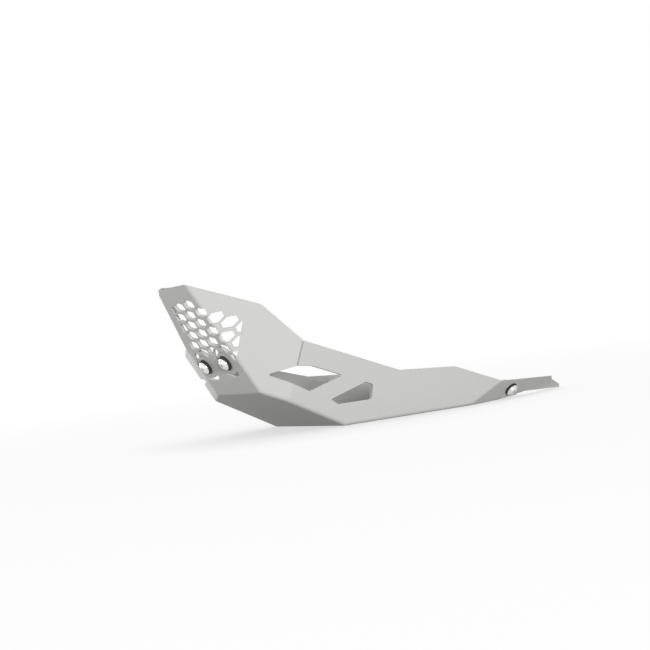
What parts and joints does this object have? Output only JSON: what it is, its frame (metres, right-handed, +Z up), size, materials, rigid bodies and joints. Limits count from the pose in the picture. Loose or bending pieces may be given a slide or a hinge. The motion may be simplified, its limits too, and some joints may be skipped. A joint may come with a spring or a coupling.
{
  "type": "engine guard",
  "caption": "Folded aluminium engine guard for a travel motorcycle, with a honeycomb front panel, vented side walls, a flat underside, tail flanges, flanged screws and rubber washers",
  "frame": {"origin": "middle of the flat underside, on its outer face", "axes": "+X towards the front wheel, +Y to the rider's left, +Z up"},
  "size_m": [0.5569, 0.2635, 0.2092],
  "materials": {
    "plate": "satin silver",
    "screw": "bright zinc plated",
    "washer": "black, matte"
  },
  "bodies": {
    "root": {"guard_plate": "plate", "front_screw_left": "screw", "front_screw_right": "screw", "rear_screw_left": "screw", "rear_screw_right": "screw", "front_washer_left": "washer", "front_washer_right": "washer", "rear_washer_left": "washer", "rear_washer_right": "washer"}
  },
  "joints": []
}
